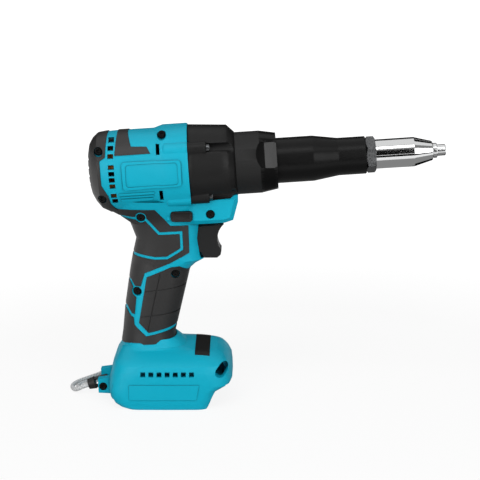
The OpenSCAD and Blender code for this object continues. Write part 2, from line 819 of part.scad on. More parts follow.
module housing_screws() color("#161616") for (s = screw_places) screw(s, -s[2], screw_reach);
module lug_screw() color("#161616") screw(lug_screw_at, -lug_w / 2 + screw_head_t, lug_w / 2 - overrun - fit);

// Outside of the gear housing in front of the body, grown by off
module gear_housing_envelope(off) {
    turned([
        [0, -body_front - off], [gear_rear_r + off, -body_front - off],
        [gear_front_r + off, -gear_front - gear_chamfer], [gear_front_r - gear_chamfer + off, -gear_front + off],
        [0, -gear_front + off]
    ]);
    on_shaft() for (a = rib_angles) rotate(a) translate([rib_c, 0, -body_front - off / 2])
        cylinder(h = body_front - rib_front + off / 2, r = rib_r + off);
}
module gear_housing() color("#262626") difference() {
    union() {
        difference() {
            gear_housing_envelope(0);
            on_shaft() for (a = rib_angles) rotate(a) translate([rib_c, 0, -rib_front])
                cylinder(h = rib_front, r = gear_screw_head_r + 2 * clear);
        }
        disc(gear_rear_u, -body_front + overrun, flare_r - wall - fit);
        disc(-gear_front - overrun, -gear_front + spigot_len, spigot_r);
    }
    disc(-reach, carrier_front_u + overrun, ring_r + running);
    disc(carrier_rear_u, main_bearing_u + main_bearing_len, main_bearing_r + running);
    disc(main_bearing_u, thrust_u + thrust_len, thrust_r + 2 * clear);
    disc(thrust_u, 0, screw_r + 2 * clear);
    disc(-gear_front, 0, guide_r);
    on_shaft() for (a = rib_angles) rotate(a) translate([rib_c, 0, -reach])
        cylinder(h = reach, r = gear_screw_r + running);
    screw_room();
}
// Room that the gear housing leaves for the housing screws that pass under it
module screw_room() for (s = screw_places) hole(s, -reach, reach, screw_head_r + running);
module gear_housing_screws() color("#c9c9c9") on_shaft() for (a = rib_angles) rotate(a)
    translate([rib_c, 0, -rib_front]) {
        cylinder(h = gear_screw_head_t, r = gear_screw_head_r);
        translate([0, 0, -gear_screw_len]) cylinder(h = gear_screw_len + overrun, r = gear_screw_r);
    }
module motor_bracket() color("#8d9094") turned([
    [shaft_r + clear, bracket_rear_u], [flare_r - wall - fit, bracket_rear_u],
    [flare_r - wall - fit, bracket_rear_u + bracket_len],
    [front_bearing_r + running, bracket_rear_u + bracket_len],
    [front_bearing_r + running, bracket_rear_u + bracket_len / 5],
    [shaft_r + clear, bracket_rear_u + bracket_len / 5]
]);

module front_collar() color("#1c1c1c") difference() {
    turned([
        [spigot_r + running, collar_rear_u], [collar_r, collar_rear_u],
        [collar_r, collar_front_u - collar_taper], [collar_step_r, collar_front_u],
        [barrel_spigot_r + running, collar_front_u], [barrel_spigot_r + running, collar_front_u - barrel_tail],
        [guide_r, collar_front_u - barrel_tail], [guide_r, collar_rear_u + spigot_len + fit],
        [spigot_r + running, collar_rear_u + spigot_len + fit]
    ]);
    on_shaft() for (side = [0, 180]) rotate(flat_turn + side) translate([-flat_h / 2, 0, 0])
        rotate([90, 0, 90]) linear_extrude(flat_h) polygon([
            [collar_r + overrun, collar_front_u - flat_len - flat_slope],
            [collar_step_r - flat_depth, collar_front_u - flat_len],
            [collar_step_r - flat_depth, collar_front_u + overrun],
            [collar_r + overrun, collar_front_u + overrun]
        ]);
}
module barrel() color("#202020") difference() {
    turned([
        [guide_r, collar_front_u - barrel_tail + fit], [barrel_spigot_r, collar_front_u - barrel_tail + fit],
        [barrel_spigot_r, collar_front_u], [barrel_r, collar_front_u],
        [barrel_r, barrel_front_u - taper_rear], [barrel_front_r, barrel_front_u - taper_front],
        [barrel_front_r, barrel_front_u], [barrel_bore_r, barrel_front_u],
        [barrel_bore_r, barrel_front_u - taper_front], [guide_r, key_front + overrun]
    ]);
    on_axis() translate([key_rear - fit, -key_w / 2 - running, guide_r - key_in])
        cube([key_front - key_rear + 2 * fit, key_w + 2 * running, key_in + key_out]);
}
module guide_key() color("#8a8a8a") on_axis() translate([key_rear, -key_w / 2, guide_r - key_in])
    cube([key_front - key_rear, key_w, key_in + key_out]);
module lock_nut() color("#6f7274") intersection() {
    difference() {
        on_shaft() translate([0, 0, barrel_front_u])
            cylinder(h = lock_nut_len, r = lock_nut_af / sqrt(3), $fn = 6);
        disc(0, reach, nose_r - fit + running);
    }
    turned([
        [0, barrel_front_u], [lock_nut_af / 2, barrel_front_u],
        [lock_nut_af / 2 + lock_nut_len / 3, barrel_front_u + lock_nut_len / 5],
        [lock_nut_af / 2 + lock_nut_len / 3, nut_front_u - lock_nut_len / 5],
        [lock_nut_af / 2, nut_front_u], [0, nut_front_u]
    ]);
}
module nose_cap() color("#d4d6d8") turned([
    [nose_bore_r, barrel_front_u - nose_tail], [nose_r - 2 * fit, barrel_front_u - nose_tail],
    [nose_r - 2 * fit, nut_front_u], [nose_r, nut_front_u],
    [nose_r, nose_front_u - nose_cone_len], [nose_end_r, nose_front_u],
    [nosepiece_tail_r + running, nose_front_u], [nosepiece_tail_r + running, nose_front_u - nose_lip],
    [nose_bore_r, nose_front_u - nose_cone_len]
]);
module nosepiece() color("#b9bcc0") turned([
    [mandrel_r, nose_front_u - nosepiece_tail], [nosepiece_tail_r, nose_front_u - nosepiece_tail],
    [nosepiece_tail_r, nose_front_u], [nosepiece_flange_r, nose_front_u],
    [nosepiece_flange_r, nose_front_u + nosepiece_flange_t], [tip_r, nose_front_u + nosepiece_flange_t],
    [tip_r, nosepiece_front_u], [mandrel_r, nosepiece_front_u]
]);

// Stator lamination in the plane across the shaft
module stator_core() color("#7b7f85") on_shaft() translate([0, 0, stator_rear_u]) linear_extrude(stator_len)
    difference() {
        union() {
            difference() {
                circle(stator_r);
                circle(stator_r - stator_yoke);
            }
            for (i = [0:poles - 1]) rotate(360 * i / poles)
                translate([0, -pole_w / 2]) square([stator_r - stator_yoke / 2, pole_w]);
        }
        circle(rotor_r + air_gap);
    }
module stator_windings() color("#b8692e") on_shaft() for (i = [0:poles - 1]) rotate(360 * i / poles)
    translate([rotor_r + air_gap + coil_t / 2, 0, 0]) difference() {
        translate([0, -pole_w / 2 - coil_t, stator_rear_u - coil_end])
            cube([stator_r - stator_yoke - rotor_r - air_gap - coil_t, pole_w + 2 * coil_t,
                stator_len + coil_end + coil_front]);
        translate([-overrun, -pole_w / 2 - running, stator_rear_u - running])
            cube([stator_r, pole_w + 2 * running, stator_len + 2 * running]);
    }
module rotor_core() color("#55585c")
    disc(stator_rear_u - overrun, stator_rear_u + stator_len + overrun, rotor_r, shaft_r);
module motor_shaft() color("#c2c4c7") disc(shaft_rear_u, sun_rear_u + gear_face, shaft_r);
module cooling_fan() color("#1a1a1a") on_shaft() translate([0, 0, fan_rear_u]) difference() {
    union() {
        cylinder(h = fan_disc_t, r = fan_r);
        cylinder(h = fan_t, r = hub_r);
        for (i = [0:fan_blades - 1]) rotate(360 * i / fan_blades)
            translate([hub_r - overrun, -blade_t / 2, 0]) cube([fan_r - hub_r - overrun, blade_t, fan_t]);
    }
    translate([0, 0, -overrun]) cylinder(h = fan_t + 2 * overrun, r = shaft_r);
}
module rear_bearing() color("#b4b7ba")
    disc(rear_bearing_u, rear_bearing_u + bearing_len, bearing_r, shaft_r + running);
module front_bearing() color("#b4b7ba")
    disc(bracket_rear_u + bracket_len / 5, bracket_rear_u + bracket_len, front_bearing_r, shaft_r + running);

// Involute tooth: half angle of the tooth at radius r
function roll(a) = tan(a) * 180 / PI - a;
function tooth_half(r, teeth, thin) = let (
    pitch_r = gear_module * teeth / 2,
    base_r = pitch_r * cos(pressure)
) (90 / teeth - thin / pitch_r * 45 / PI * 2) + roll(pressure) - roll(acos(min(1, base_r / r)));
function gear_points(teeth, add, ded, thin) = let (
    pitch_r = gear_module * teeth / 2,
    tip = pitch_r + add * gear_module,
    root = pitch_r - ded * gear_module,
    base_r = max(root, pitch_r * cos(pressure)),
    radii = [root, base_r, (base_r + pitch_r) / 2, pitch_r, (pitch_r + tip) / 2, tip]
) [
    for (i = [0:teeth - 1], k = [0:2 * len(radii) - 1])
        let (
            up = k < len(radii),
            r = up ? radii[k] : radii[2 * len(radii) - 1 - k],
            a = 360 * i / teeth + (up ? -1 : 1) * tooth_half(max(r, base_r), teeth, thin)
        )
        [r * cos(a), r * sin(a)]
];
module sun_gear() color("#9b9ea2") on_shaft() translate([0, 0, sun_rear_u])
    linear_extrude(gear_face) difference() {
    polygon(gear_points(sun_teeth, addendum_share, dedendum_share, backlash));
    circle(shaft_r);
}
module planet_gear(i) color("#9b9ea2") on_shaft() rotate(360 * i / planets)
    translate([orbit_r, 0, sun_rear_u]) linear_extrude(gear_face) difference() {
        polygon(gear_points(planet_teeth, addendum_share, dedendum_share, backlash));
        circle(planet_pin_r + running);
    }
module planet_gear_1() planet_gear(0);
module planet_gear_2() planet_gear(1);
module planet_gear_3() planet_gear(2);
module ring_gear() color("#86898d") on_shaft() translate([0, 0, gear_rear_u]) 
    linear_extrude(carrier_rear_u - gear_rear_u) difference() {
        circle(ring_r);
        polygon(gear_points(ring_teeth, dedendum_share, addendum_share, -backlash));
    }
module planet_carrier() color("#7a7d82") difference() {
    union() {
        disc(carrier_rear_u, carrier_front_u, orbit_r + 2 * planet_pin_r);
        disc(carrier_front_u - overrun, main_bearing_u + main_bearing_len, carrier_hub_r);
        on_shaft() for (i = [0:planets - 1]) rotate(360 * i / planets) translate([orbit_r, 0, sun_rear_u])
            cylinder(h = gear_face + 2 * overrun, r = planet_pin_r);
    }
    disc(carrier_front_u, main_bearing_u + main_bearing_len + overrun, screw_r);
}
module main_bearing() color("#b4b7ba")
    disc(main_bearing_u, main_bearing_u + main_bearing_len, main_bearing_r, carrier_hub_r + running);
module thrust_bearing() color("#a9acb0")
    disc(thrust_u + running, thrust_u + thrust_len, thrust_r, screw_r + running);
module lead_screw() color("#a4a7ab") turned([
    [0, carrier_front_u + fit], [screw_r, carrier_front_u + fit], [screw_r, flange_u], [flange_r, flange_u],
    [flange_r, thrust_u], [screw_r, thrust_u], [screw_r, screw_front_u - overrun],
    [screw_r - overrun, screw_front_u], [0, screw_front_u]
]);

module drive_nut() color("#6d7075") difference() {
    disc(drive_nut_u, drive_nut_u + drive_nut_len, nut_r, screw_r + running);
    disc(drive_nut_u + drive_nut_len - case_lap, reach, pull_r + running);
    on_axis() translate([drive_nut_u - overrun, -key_w / 2 - clear, guide_r - key_in - clear])
        cube([drive_nut_len + 2 * overrun, key_w + 2 * clear, key_in + 2 * clear]);
}
module pull_tube() color("#7f8287") turned([
    [pull_bore_r, drive_nut_u + drive_nut_len - case_lap], [pull_r, drive_nut_u + drive_nut_len - case_lap],
    [pull_r, pull_front_u - case_lap], [cone_rear_r, pull_front_u - case_lap], [cone_rear_r, pull_front_u],
    [mandrel_r + clear, pull_front_u], [mandrel_r + clear, pull_end_u], [pull_bore_r, pull_end_u]
]);
module jaw_case() color("#6d7075") turned([
    [cone_rear_r + running, pull_front_u - case_lap], [pull_r, pull_front_u - case_lap],
    [pull_r, case_front_u], [cone_front_r, case_front_u], [cone_front_r, cone_front_u],
    [cone_rear_r + running, cone_rear_u]
]);
// Radius of the cone that the jaws slide in
function cone_r(u) = cone_rear_r
    + (cone_front_r - cone_rear_r) * (u - cone_rear_u) / (cone_front_u - cone_rear_u);
module jaw(i) color("#4d5054") intersection() {
    turned([
        [mandrel_r + clear / 2, jaw_rear_u], [cone_r(jaw_rear_u) - clear, jaw_rear_u],
        [cone_r(jaw_front_u) - clear, jaw_front_u], [mandrel_r + clear / 2, jaw_front_u]
    ]);
    on_shaft() rotate(120 * i) translate([jaw_gap, 0, 0]) linear_extrude(reach)
        polygon([[0, 0], nose_r * [1, -sqrt(3)], nose_r * [1, sqrt(3)]]);
}
module jaw_1() jaw(0);
module jaw_2() jaw(1);
module jaw_3() jaw(2);
module jaw_pusher() color("#8c8f94") turned([
    [mandrel_r + clear, pusher_rear_u], [pusher_r, pusher_rear_u], [pusher_r, jaw_rear_u - 2 * overrun],
    [cone_r(jaw_rear_u) - 2 * overrun, jaw_rear_u - clear], [mandrel_r + clear, jaw_rear_u - clear]
]);

// Coil spring along Z from 0 to length
function coil_point(r, length, turns, s) = [r * cos(360 * turns * s), r * sin(360 * turns * s), length * s];
// Least gap between turns, measured on points of the wire's centre line
function least_gap(line) = min([
    for (i = [0:len(line) - 1]) for (j = [i + spring_steps / 2:1:len(line) - 1]) norm(line[i] - line[j])
]) - 2 * wire_r;
module coil(r, length, turns) {
    steps = turns * spring_steps;
    echo(least_gap = least_gap([for (i = [0:steps]) coil_point(r, length, turns, i / steps)]));
    rings = [
        for (i = [0:steps])
            let (a = 360 * turns * i / steps, c = coil_point(r, length, turns, i / steps))
            [for (k = [0:spring_sides - 1])
                let (t = 360 * k / spring_sides)
                c + wire_r * [cos(t) * cos(a), cos(t) * sin(a), sin(t)]]
    ];
    tube(rings);
}
// Closed tube through rings of equal count
module tube(rings) {
    n = len(rings[0]);
    last = len(rings) - 1;
    polyhedron(
        [for (r = rings) for (p = r) p],
        concat(
            [[for (k = [0:n - 1]) k]],
            [[for (k = [0:n - 1]) last * n + n - 1 - k]],
            [for (i = [0:last - 1], k = [0:n - 1]) [i * n + (k + 1) % n, i * n + k, (i + 1) * n + k]],
            [for (i = [0:last - 1], k = [0:n - 1])
                [i * n + (k + 1) % n, (i + 1) * n + k, (i + 1) * n + (k + 1) % n]]
        )
    );
}
module jaw_spring() color("#a9abae") on_shaft() translate([0, 0, pull_front_u + wire_r + fit])
    coil(jaw_spring_r, pusher_rear_u - pull_front_u - 2 * wire_r - 2 * fit, jaw_spring_turns);

// Trigger with its plunger, the switch that it works and the spring between them
trigger_mid = (grip_pt(trigger_shares[0])[1] + grip_pt(trigger_shares[9])[1]) / 2;
trigger_back = grip_pt(trigger_shares[0])[0];
switch_low = grip_pt(switch_shares[0]);
switch_high = grip_pt(switch_shares[1]);
plunger_tip = switch_high[0] - plunger_hole_len + trigger_travel + overrun;
module trigger() color("#2a2a2b") {
    across(trigger_w) difference() {
        polygon([for (s = trigger_shares) grip_pt(s)]);
        translate(grip_pt(finger_hollow_shares)) circle(finger_hollow_shares[2] * grip_depth);
    }
    translate([plunger_tip, 0, trigger_mid]) rotate([0, 90, 0])
        cylinder(h = trigger_back + overrun - plunger_tip, r = plunger_r);
}
module trigger_switch() color("#18191a") difference() {
    translate([switch_low[0], -switch_w / 2, switch_low[1]])
        cube([switch_high[0] - switch_low[0], switch_w, switch_high[1] - switch_low[1]]);
    translate([switch_high[0] - plunger_hole_len, 0, trigger_mid]) rotate([0, 90, 0])
        cylinder(h = plunger_hole_len + overrun, r = plunger_r + running);
}
module trigger_spring() color("#a9abae")
    translate([switch_high[0] + wire_r + fit, 0, trigger_mid]) rotate([0, 90, 0])
        coil(trigger_spring_r, trigger_back - switch_high[0] - 2 * wire_r - 2 * fit, trigger_spring_turns);
module direction_selector() color("#1f1f20") difference() {
    across(guard_w + 2 * selector_proud) selector_outline(0);
    translate([grip_pt(selector_shares)[0], 0, grip_pt(selector_shares)[1] + selector_h / 2])
        cube([2 * selector_len, guard_w - 2 * selector_end, 2 * selector_waist], center = true);
    selector_room();
}
// Room that the bar leaves for the bracket and the gear housing's spigot as it slides
module selector_room() for (k = [-1:1]) translate([0, k * selector_travel, 0])
    disc(bracket_rear_u - clear, -body_front, flare_r - wall - fit + clear);

// Control board on its posts, terminal block and battery terminals under it
board_z = slot_h + wall + post_h;
module control_board() color("#2d6b3f") translate([foot_pt([board_shares[0], 0])[0], -board_w / 2, board_z]) {
    cube([(board_shares[1] - board_shares[0]) * foot_len, board_w, board_t]);
    for (i = [1:4]) translate([i * (board_shares[1] - board_shares[0]) * foot_len / 5,
        board_w / 2 - chip[1] * 2, board_t - running])
        cube(chip);
}
module terminal_block() color("#202022")
    translate([foot_pt([block_shares[0], 0])[0], -block_w / 2, slot_h - block_h])
        cube([(block_shares[1] - block_shares[0]) * foot_len, block_w, block_h]);
module battery_terminals() color("#c9a85a") for (i = [-1:1])
    translate([foot_pt([block_shares[1], 0])[0], i * blade_pitch - blade[1] / 2, slot_h - block_h + overrun])
        cube(blade);

// Wrist strap: loop round the lug screw, ferrule, and cord laid behind the foot
module on_strap() translate([lug_screw_at[0], 0, lug_screw_at[1]]) rotate([0, 180 - strap_drop, 0]) children();
loop_c = screw_shank_r + loop_r + fit;
module strap_loop() color("#17181a") on_strap() {
    rotate([90, 0, 0]) rotate([0, 0, 90]) rotate_extrude(angle = 180) translate([loop_c, 0]) circle(loop_r);
    for (z = [-loop_c, loop_c])
        translate([0, 0, z]) rotate([0, 90, 0]) cylinder(h = loop_len, r = loop_r);
}
module strap_ferrule() color("#141416") on_strap() translate([loop_len, 0, 0]) rotate([0, 90, 0])
    cylinder(h = ferrule_len, r1 = ferrule_r, r2 = ferrule_end_r);
// Point at a distance along the strap from the lug screw
function strap_at(along, y) = [
    lug_screw_at[0] - along * cos(strap_drop), y, lug_screw_at[1] - along * sin(strap_drop)
];
strap_y = strap_r + strap_gap;
strap_start = loop_len + ferrule_len;
strap_route = concat(
    [strap_at(strap_start, strap_y), strap_at(strap_start + strap_lead, strap_y)],
    strap_points,
    [strap_at(strap_start + strap_lead, -strap_y), strap_at(strap_start, -strap_y)]
);
function strap_ring(i) = let (
    last = len(strap_route) - 1,
    along = unit(strap_route[min(i + 1, last)] - strap_route[max(i - 1, 0)]),
    side = unit(cross([0, 0, 1], along)),
    up = cross(along, side)
) [for (k = [0:7]) strap_route[i] + strap_r * (cos(45 * k) * side + sin(45 * k) * up)];
module wrist_strap() color("#a7aaad") tube([for (i = [0:len(strap_route) - 1]) strap_ring(i)]);

housing_right();
housing_left();
rear_bumper_right();
rear_bumper_left();
top_pad_right();
top_pad_left();
grip_rubber_right();
grip_rubber_left();
palm_pad_right();
palm_pad_left();
finger_pad_right();
finger_pad_left();
foot_inlay();
housing_screws();
lug_screw();
gear_housing();
gear_housing_screws();
motor_bracket();
front_collar();
barrel();
guide_key();
lock_nut();
nose_cap();
nosepiece();
stator_core();
stator_windings();
rotor_core();
motor_shaft();
cooling_fan();
rear_bearing();
front_bearing();
sun_gear();
planet_gear_1();
planet_gear_2();
planet_gear_3();
ring_gear();
planet_carrier();
main_bearing();
thrust_bearing();
lead_screw();
drive_nut();
pull_tube();
jaw_case();
jaw_1();
jaw_2();
jaw_3();
jaw_pusher();
jaw_spring();
trigger();
trigger_switch();
trigger_spring();
direction_selector();
control_board();
terminal_block();
battery_terminals();
strap_loop();
strap_ferrule();
wrist_strap();
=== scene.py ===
import math
import bpy
from mathutils import Matrix, Vector
from mathutils.kdtree import KDTree


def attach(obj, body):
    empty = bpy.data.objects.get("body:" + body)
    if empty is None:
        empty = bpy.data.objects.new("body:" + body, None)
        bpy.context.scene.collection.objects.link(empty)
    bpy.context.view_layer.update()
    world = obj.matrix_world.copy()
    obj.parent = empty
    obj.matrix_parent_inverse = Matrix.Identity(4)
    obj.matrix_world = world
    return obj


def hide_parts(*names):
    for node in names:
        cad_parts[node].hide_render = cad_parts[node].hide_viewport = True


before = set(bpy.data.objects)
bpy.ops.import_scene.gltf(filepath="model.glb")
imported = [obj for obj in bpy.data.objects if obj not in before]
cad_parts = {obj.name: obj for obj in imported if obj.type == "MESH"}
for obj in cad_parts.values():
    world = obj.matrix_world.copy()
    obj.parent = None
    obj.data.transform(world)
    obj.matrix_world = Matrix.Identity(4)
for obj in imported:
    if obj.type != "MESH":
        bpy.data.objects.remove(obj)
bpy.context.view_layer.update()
mm = 0.001
print("frame: loaded", len(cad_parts), "nodes")

# Camera at the photograph's angle, from the tool's right side
cameraPlan = {"target": (-20.18 * mm, 0, 117.25 * mm), "distance": 1100 * mm, "elevation": 12.8,
              "lens": 113.26, "sensor": 36, "farClip": 60}


def setCamera(plan):
    tilt = math.radians(plan["elevation"])
    back = Vector((0, -math.cos(tilt), math.sin(tilt))) * plan["distance"]
    bpy.ops.object.camera_add(location=Vector(plan["target"]) + back,
                              rotation=(math.pi / 2 - tilt, 0, 0))
    shot = bpy.context.object
    shot.data.lens = plan["lens"]
    shot.data.sensor_width = plan["sensor"]
    shot.data.clip_end = plan["farClip"]
    bpy.context.scene.camera = shot


setCamera(cameraPlan)
print("camera: set")


def deselect():
    if bpy.context.object and bpy.context.object.mode != "OBJECT":
        bpy.ops.object.mode_set(mode="OBJECT")
    bpy.ops.object.select_all(action="DESELECT")


def pick(piece):
    deselect()
    piece.select_set(True)
    bpy.context.view_layer.objects.active = piece


def startEdit(piece):
    pick(piece)
    bpy.ops.object.mode_set(mode="EDIT")


def editAll(piece):
    startEdit(piece)
    bpy.ops.mesh.select_all(action="SELECT")


def leaveEdit():
    bpy.ops.object.mode_set(mode="OBJECT")


# Writes the place of what is selected into its mesh
def bakePlace():
    bpy.ops.object.transform_apply(location=True, rotation=True, scale=True)


def joinPieces(pieces, name):
    deselect()
    for piece in pieces:
        piece.select_set(True)
    bpy.context.view_layer.objects.active = pieces[0]
    bakePlace()
    if len(pieces) > 1:
        bpy.ops.object.join()
    pieces[0].name = name
    return pieces[0]


# Selects the points that pass a test, and the edges and faces that lie among them
def selectPoints(piece, test):
    mesh = piece.data
    for point in mesh.vertices:
        point.select = test(point.co)
    for item in list(mesh.edges) + list(mesh.polygons):
        item.select = all(mesh.vertices[i].select for i in item.vertices)


def finishPiece(piece, body, material, smoothAngle=30):
    pick(piece)
    bakePlace()
    bpy.ops.object.shade_smooth_by_angle(angle=math.radians(smoothAngle))
    piece.data.materials.clear()
    piece.data.materials.append(material)
    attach(piece, body)


def applyModifier(piece, kind, **settings):
    pick(piece)
    bpy.ops.object.modifier_add(type=kind)
    modifier = piece.modifiers[-1]
    for name, value in settings.items():
        setattr(modifier, name, value)
    bpy.ops.object.modifier_apply(modifier=modifier.name)


def roundEdges(piece, width, angle, segments=3):
    applyModifier(piece, "BEVEL", width=width * mm, segments=segments, limit_method="ANGLE",
                  angle_limit=math.radians(angle))


def weightNormals(piece, weight=80):
    applyModifier(piece, "WEIGHTED_NORMAL", mode="FACE_AREA", weight=weight, keep_sharp=True)


def cutAway(piece, cutter):
    applyModifier(piece, "BOOLEAN", operation="DIFFERENCE", object=cutter, solver="EXACT")
    bpy.data.objects.remove(cutter)


alongX = (0, math.pi / 2, 0)
alongY = (math.pi / 2, 0, 0)


# Sizes of rods and blocks are in mm, places in m
def addRod(radius, length, place, turn, sides):
    deselect()
    bpy.ops.mesh.primitive_cylinder_add(vertices=sides, radius=radius * mm, depth=length * mm,
                                        location=place, rotation=turn)
    bakePlace()
    return bpy.context.object


def addBlock(size, place, turn):
    deselect()
    bpy.ops.mesh.primitive_cube_add(size=1, location=place, rotation=turn)
    bpy.context.object.scale = Vector(size) * mm
    bakePlace()
    return bpy.context.object


# Colours are written as sRGB and turned to linear here
def hexColour(code):
    parts = [int(code[i:i + 2], 16) / 255 for i in (1, 3, 5)]
    linear = [p / 12.92 if p <= 0.04045 else ((p + 0.055) / 1.055) ** 2.4 for p in parts]
    return (*linear, 1)


def addNode(material, kind, settings=None, links=None):
    node = material.node_tree.nodes.new(kind)
    for name, value in (settings or {}).items():
        if name in node.inputs:
            node.inputs[name].default_value = value
        else:
            setattr(node, name, value)
    for name, (source, output) in (links or {}).items():
        material.node_tree.links.new(source.outputs[output], node.inputs[name])
    return node


def addNoise(material, place, width, detail):
    return addNode(material, "ShaderNodeTexNoise", {"Scale": 1 / (width * mm), "Detail": detail},
                   {"Vector": (place, "Object")})


def addSpread(material, value, span, low, high):
    return addNode(material, "ShaderNodeMapRange",
                   {"From Min": span[0], "From Max": span[1], "To Min": low, "To Max": high}, {"Value": value})


def linkShader(material, name, node, output):
    shader = material.node_tree.nodes["Principled BSDF"]
    material.node_tree.links.new(node.outputs[output], shader.inputs[name])


def tintBase(material, colour, tone):
    tinted = addNode(material, "ShaderNodeVectorMath",
                     {"operation": "SCALE", "Vector": hexColour(colour)[:3]}, {"Scale": (tone, "Result")})
    linkShader(material, "Base Color", tinted, "Vector")


# Widths in mm of uneven patches, mottled spots and hollows with painted shade, and the span of the source each
# one uses
surfacePlan = {"patch": 9, "patchSpan": (0.3, 0.7), "spot": 1.1, "spotSpan": (0.35, 0.65),
               "hollow": 3.2, "hollowSpan": (0.5, 0.95), "hollowRays": 8, "edgeRays": 4}


# A surface with a fine grain: grain is the width of one grain, depth how far it stands out. The crevice amount
# darkens the colour as painted shade in hollows and creases
def grainedSurface(name, colour, roughness, metallic=0.0, grain=0.8, depth=0.03, edge=0.35, ior=1.5,
                   uneven=0.0, mottle=0.0, creviceShade=0.0):
    material = bpy.data.materials.new(name)
    material.use_nodes = True
    shader = material.node_tree.nodes["Principled BSDF"]
    shader.inputs["Base Color"].default_value = hexColour(colour)
    shader.inputs["Roughness"].default_value = roughness
    shader.inputs["Metallic"].default_value = metallic
    if not metallic:
        shader.inputs["IOR"].default_value = ior
    place = addNode(material, "ShaderNodeTexCoord")
    rounded = addNode(material, "ShaderNodeBevel", {"samples": surfacePlan["edgeRays"], "Radius": edge * mm})
    noise = addNoise(material, place, grain, detail=2.0)
    bump = addNode(material, "ShaderNodeBump", {"Strength": 1.0, "Distance": depth * mm},
                   {"Height": (noise, "Fac"), "Normal": (rounded, "Normal")})
    linkShader(material, "Normal", bump, "Normal")
    if uneven:
        patch = addNoise(material, place, surfacePlan["patch"], detail=3.0)
        spread = addSpread(material, (patch, "Fac"), surfacePlan["patchSpan"],
                           roughness - uneven, roughness + uneven)
        linkShader(material, "Roughness", spread, "Result")
    if mottle:
        spots = addNoise(material, place, surfacePlan["spot"], detail=3.0)
        tone = addSpread(material, (spots, "Fac"), surfacePlan["spotSpan"], 1 - mottle, 1 + mottle)
        tintBase(material, colour, tone)
    # Painted shade: ambient occlusion darkens the base colour in hollows and creases
    if creviceShade:
        hollow = addNode(material, "ShaderNodeAmbientOcclusion",
                         {"samples": surfacePlan["hollowRays"], "only_local": True,
                          "Distance": surfacePlan["hollow"] * mm})
        tone = addSpread(material, (hollow, "AO"), surfacePlan["hollowSpan"], 1 - creviceShade, 1.0)
        tintBase(material, colour, tone)
    return material


# Glass-filled nylon, injection moulded: an even satin blue-green with a fine spark-eroded grain, and painted
# shade in its creases
mouldedTeal = grainedSurface("mouldedNylonTeal", "#08B0CC", 0.42, grain=0.9, depth=0.008, edge=0.18,
                             ior=1.28, uneven=0.04, creviceShade=0.6)
# Thermoplastic rubber, overmoulded: dark and slightly pebbled, with a soft sheen and painted shade in its
# creases
mouldedRubber = grainedSurface("overmouldedRubber", "#212020", 0.48, grain=0.9, depth=0.05, edge=0.35,
                               ior=1.5, creviceShade=0.5)
# ABS, moulded: near black with a low sheen
mouldedBlack = grainedSurface("mouldedAbsBlack", "#1D1D1D", 0.44, grain=0.9, depth=0.012, ior=1.33)
# Magnesium die casting under black powder coat: fine orange-peel grain, and painted shade in its creases
castBlack = grainedSurface("powderCoatedCasting", "#171717", 0.44, grain=0.8, depth=0.02, ior=1.3,
                           uneven=0.05, creviceShade=0.6)
# Aluminium, bead blasted and black anodised: dense small grain
blastedBlack = grainedSurface("blastedAnodisedBlack", "#1B1B1B", 0.55, grain=0.8, depth=0.06, ior=1.35)
# Steel, turned and black oxide finished: dark with a soft satin reflection
oxideBlack = grainedSurface("turnedOxideSteel", "#0E0E0E", 0.33, grain=1.2, depth=0.004, ior=1.25,
                            uneven=0.03)
# Steel, the milled flat: painted lighter than the oxide as a reflection, with a dull sheen
flatPaintedReflection = grainedSurface("flatSteelPaintedReflection", "#3E3E3E", 0.42, grain=1.0, depth=0.01, ior=1.4)
# Steel, sunk run-out of the flat: painted near black as its shade
runOutPaintedShade = grainedSurface("runOutSteelPaintedShade", "#060606", 0.6, grain=1.0, depth=0.01, ior=1.2)
# Steel under polished chrome: bright and mirror like
polishedChrome = grainedSurface("polishedChrome", "#E2E3E3", 0.08, metallic=1.0, grain=1.5, depth=0.0006,
                                edge=0.15)
# Steel, zinc plated: mottled grey with a dull metal sheen
zincGrey = grainedSurface("zincPlatedSteel", "#696A6B", 0.40, metallic=1.0, grain=0.9, depth=0.08, edge=0.3,
                          mottle=0.35)
# Steel screws, zinc plated and dulled
zincScrew = grainedSurface("zincScrewSteel", "#616365", 0.28, metallic=1.0, grain=1.0, depth=0.03, edge=0.3)
# Steel screws, black oxide finished
oxideScrew = grainedSurface("oxideScrewSteel", "#0A0A0A", 0.40, grain=1.0, depth=0.01, edge=0.2, ior=1.25)
# Steel, machined: plain grey metal
machinedSteel = grainedSurface("machinedSteel", "#8E9195", 0.34, metallic=1.0, grain=1.0, depth=0.004)
# Electrical sheet steel, stacked: dull dark grey
stackedSheet = grainedSurface("stackedSheetSteel", "#4B4D50", 0.5, metallic=0.8, grain=0.8, depth=0.03)
# Copper wire, wound: warm orange brown under a clear enamel that dulls the metal
woundCopper = grainedSurface("enamelledCopper", "#CE7A31", 0.42, metallic=0.4, grain=0.8, depth=0.08)
# Glass-fibre circuit board, green lacquer
greenBoard = grainedSurface("lacquerCircuitBoard", "#2A6A3D", 0.35, grain=1.0, depth=0.01)
# Brass strip, pressed
pressedBrass = grainedSurface("pressedBrass", "#CDAE60", 0.3, metallic=1.0, grain=1.0, depth=0.004)
print("materials: made")


# Nylon cord, braided: two sets of strands cross round it, and pitch is the length of one diamond
def braidedCord(name, colour, shade, pitch, length, strands):
    material = grainedSurface(name, colour, 0.82, grain=0.8, depth=0.02, edge=0.1)
    place = addNode(material, "ShaderNodeTexCoord")
    spread = addNode(material, "ShaderNodeMapping",
                     {"Scale": (length / (pitch * mm), strands, 1.0)}, {"Vector": (place, "UV")})
    check = addNode(material, "ShaderNodeTexChecker",
                    {"Scale": 1.0, "Color1": hexColour(colour), "Color2": hexColour(shade)},
                    {"Vector": (spread, "Vector")})
    linkShader(material, "Base Color", check, "Color")
    return material


